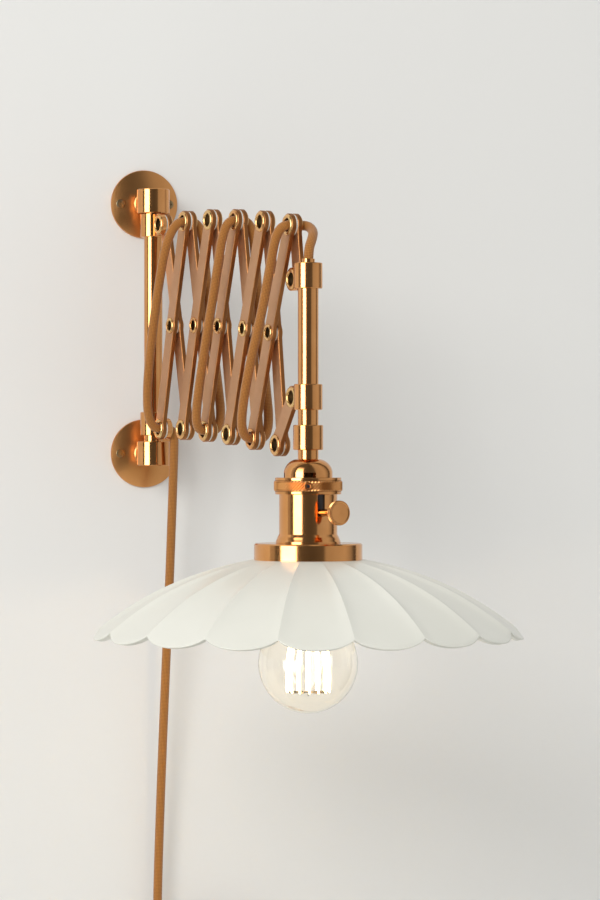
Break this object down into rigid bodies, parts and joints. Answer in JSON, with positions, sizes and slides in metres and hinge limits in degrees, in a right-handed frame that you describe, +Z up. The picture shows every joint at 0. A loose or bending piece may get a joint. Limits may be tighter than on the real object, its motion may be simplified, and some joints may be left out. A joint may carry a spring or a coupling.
{
  "type": "accordion wall lamp",
  "caption": "Wall lamp on a folding scissor arm that swings on an upright rod, with a slotted lampholder, a scalloped shade, a globe bulb and a cord along the bars.",
  "frame": {"origin": "on the wall plane, midway between the two wall brackets", "axes": "+Z up, +Y into the wall, +X to the right of someone facing the wall; the lamp stands out along -Y"},
  "size_m": [0.3404, 0.5226, 0.824],
  "materials": {
    "rose_bars": "satin",
    "polished_copper": "polished",
    "brass_rivets": "polished",
    "washer_nylon": "matte",
    "cord_fabric": "woven",
    "shade_enamel": "satin",
    "bulb_glass": "clear",
    "bulb_filament": "glowing",
    "black_plastic": "satin",
    "screw_steel": "dark"
  },
  "bodies": {
    "wall_mount": {"wall_bracket_upper": "polished_copper", "wall_bracket_lower": "polished_copper", "wall_screws": "screw_steel"},
    "swing_rod": {"wall_rod": "polished_copper", "upper_arm_collar": "polished_copper", "upper_collar_eyelet": "brass_rivets", "upper_collar_washer": "washer_nylon"},
    "front_arm_1": {"front_bar_1": "rose_bars", "front_bar_1_eyelets": "brass_rivets", "front_bar_1_washers": "washer_nylon", "cord_on_front_bar_1": "cord_fabric"},
    "rear_arm_1": {"rear_bar_1": "rose_bars"},
    "front_arm_2": {"front_bar_2": "rose_bars", "front_bar_2_eyelets": "brass_rivets", "front_bar_2_washers": "washer_nylon"},
    "rear_arm_2": {"rear_bar_2": "rose_bars", "cord_on_rear_bar_2": "cord_fabric"},
    "front_arm_3": {"front_bar_3": "rose_bars", "front_bar_3_eyelets": "brass_rivets", "front_bar_3_washers": "washer_nylon", "cord_on_front_bar_3": "cord_fabric"},
    "rear_arm_3": {"rear_bar_3": "rose_bars"},
    "front_arm_4": {"front_bar_4": "rose_bars", "front_bar_4_eyelets": "brass_rivets", "front_bar_4_washers": "washer_nylon"},
    "rear_arm_4": {"rear_bar_4": "rose_bars", "cord_on_rear_bar_4": "cord_fabric"},
    "front_arm_5": {"front_bar_5": "rose_bars", "front_bar_5_eyelets": "brass_rivets", "front_bar_5_washers": "washer_nylon", "cord_on_front_bar_5": "cord_fabric"},
    "rear_arm_5": {"rear_bar_5": "rose_bars"},
    "lower_slide": {"lower_arm_collar": "polished_copper"},
    "cord_drop": {"hanging_cord": "cord_fabric", "cord_coil": "cord_fabric", "coil_tie": "black_plastic", "mains_plug": "black_plastic"},
    "upper_link": {"upper_end_link": "rose_bars", "upper_link_eyelet": "brass_rivets", "upper_link_washer": "washer_nylon"},
    "lower_link": {"lower_end_link": "rose_bars", "lower_link_eyelets": "brass_rivets", "lower_link_washers": "washer_nylon"},
    "head": {"head_post": "polished_copper", "post_upper_collar": "polished_copper", "post_stop_collar": "polished_copper", "socket_cap": "polished_copper", "knurled_ring": "polished_copper", "socket_shell": "polished_copper", "socket_insulator": "black_plastic", "socket_screw_shell": "brass_rivets", "shade_holder": "polished_copper", "lamp_shade": "shade_enamel", "bulb_glass": "bulb_glass", "bulb_cap": "brass_rivets", "bulb_filaments": "bulb_filament", "cord_to_post": "cord_fabric", "cord_in_post": "cord_fabric"},
    "post_slide": {"post_sliding_collar": "polished_copper"},
    "knob": {"switch_knob": "polished_copper"}
  },
  "joints": [
    {"name": "arm_swing", "type": "hinge", "parent": "wall_mount", "child": "swing_rod", "pos_m": [0, -0.0356, 0], "axis": [0, 0, 1], "range_deg": [-71, 49]},
    {"name": "arm_fold", "type": "hinge", "parent": "swing_rod", "child": "rear_arm_1", "pos_m": [0.00401, -0.05621, 0.08862], "axis": [-0.9816, -0.1908, 0], "range_deg": [-4, 37]},
    {"name": "front_arm_1_turn", "type": "hinge", "parent": "rear_arm_1", "child": "front_arm_1", "pos_m": [0.00854, -0.07952, 0], "axis": [-0.9816, -0.1908, 0], "range_deg": [-75, 9]},
    {"name": "rear_arm_2_turn", "type": "hinge", "parent": "front_arm_1", "child": "rear_arm_2", "pos_m": [0.01349, -0.10501, 0.088], "axis": [-0.9816, -0.1908, 0], "range_deg": [-9, 75]},
    {"name": "front_arm_2_turn", "type": "hinge", "parent": "rear_arm_2", "child": "front_arm_2", "pos_m": [0.0176, -0.12613, -0.00119], "axis": [-0.9816, -0.1908, 0], "range_deg": [-75, 9]},
    {"name": "rear_arm_3_turn", "type": "hinge", "parent": "front_arm_2", "child": "rear_arm_3", "pos_m": [0.02297, -0.15378, 0.08612], "axis": [-0.9816, -0.1908, 0], "range_deg": [-9, 75]},
    {"name": "front_arm_3_turn", "type": "hinge", "parent": "rear_arm_3", "child": "front_arm_3", "pos_m": [0.02665, -0.17269, -0.00358], "axis": [-0.9816, -0.1908, 0], "range_deg": [-75, 9]},
    {"name": "rear_arm_4_turn", "type": "hinge", "parent": "front_arm_3", "child": "rear_arm_4", "pos_m": [0.03244, -0.20249, 0.083], "axis": [-0.9816, -0.1908, 0], "range_deg": [-9, 75]},
    {"name": "front_arm_4_turn", "type": "hinge", "parent": "rear_arm_4", "child": "front_arm_4", "pos_m": [0.03568, -0.21918, -0.00716], "axis": [-0.9816, -0.1908, 0], "range_deg": [-75, 9]},
    {"name": "rear_arm_5_turn", "type": "hinge", "parent": "front_arm_4", "child": "rear_arm_5", "pos_m": [0.04189, -0.2511, 0.07864], "axis": [-0.9816, -0.1908, 0], "range_deg": [-9, 75]},
    {"name": "front_arm_5_turn", "type": "hinge", "parent": "rear_arm_5", "child": "front_arm_5", "pos_m": [0.0447, -0.26557, -0.01192], "axis": [-0.9816, -0.1908, 0], "range_deg": [-75, 9]},
    {"name": "lower_collar_turn", "type": "hinge", "parent": "front_arm_1", "child": "lower_slide", "pos_m": [0.00401, -0.05621, -0.08862], "axis": [-0.9816, -0.1908, 0], "range_deg": [-5, 38]},
    {"name": "upper_link_turn", "type": "hinge", "parent": "front_arm_5", "child": "upper_link", "pos_m": [0.05132, -0.2996, 0.07303], "axis": [-0.9816, -0.1908, 0], "range_deg": [-9, 75]},
    {"name": "head_turn", "type": "hinge", "parent": "upper_link", "child": "head", "pos_m": [0.05259, -0.30617, 0.02927], "axis": [-0.9816, -0.1908, 0], "range_deg": [-38, 5], "deforming": ["cord_to_post"]},
    {"name": "lower_link_turn", "type": "hinge", "parent": "rear_arm_5", "child": "lower_link", "pos_m": [0.04708, -0.27779, -0.10282], "axis": [-0.9816, -0.1908, 0], "range_deg": [-75, 9]},
    {"name": "post_slide_turn", "type": "hinge", "parent": "lower_link", "child": "post_slide", "pos_m": [0.05259, -0.30617, -0.06502], "axis": [-0.9816, -0.1908, 0], "range_deg": [-5, 38]},
    {"name": "cord_swivel", "type": "hinge", "parent": "lower_slide", "child": "cord_drop", "pos_m": [0.00401, -0.05621, -0.08862], "axis": [0, 0, 1], "range_deg": [-50, 72], "deforming": ["hanging_cord"]},
    {"name": "knob_turn", "type": "hinge", "parent": "head", "child": "knob", "pos_m": [0.06671, -0.36567, -0.15622], "axis": [0.342, -0.9397, 0], "continuous": true}
  ],
  "couplings": [
    {"joint": "front_arm_1_turn", "follows": "arm_fold", "ratio": -2},
    {"joint": "rear_arm_2_turn", "follows": "arm_fold", "ratio": 2},
    {"joint": "front_arm_2_turn", "follows": "arm_fold", "ratio": -2},
    {"joint": "rear_arm_3_turn", "follows": "arm_fold", "ratio": 2},
    {"joint": "front_arm_3_turn", "follows": "arm_fold", "ratio": -2},
    {"joint": "rear_arm_4_turn", "follows": "arm_fold", "ratio": 2},
    {"joint": "front_arm_4_turn", "follows": "arm_fold", "ratio": -2},
    {"joint": "rear_arm_5_turn", "follows": "arm_fold", "ratio": 2},
    {"joint": "front_arm_5_turn", "follows": "arm_fold", "ratio": -2},
    {"joint": "lower_collar_turn", "follows": "arm_fold", "ratio": 1},
    {"joint": "upper_link_turn", "follows": "arm_fold", "ratio": 2},
    {"joint": "head_turn", "follows": "arm_fold", "ratio": -1},
    {"joint": "lower_link_turn", "follows": "arm_fold", "ratio": -2},
    {"joint": "post_slide_turn", "follows": "arm_fold", "ratio": 1},
    {"joint": "cord_swivel", "follows": "arm_swing", "ratio": -1}
  ]
}
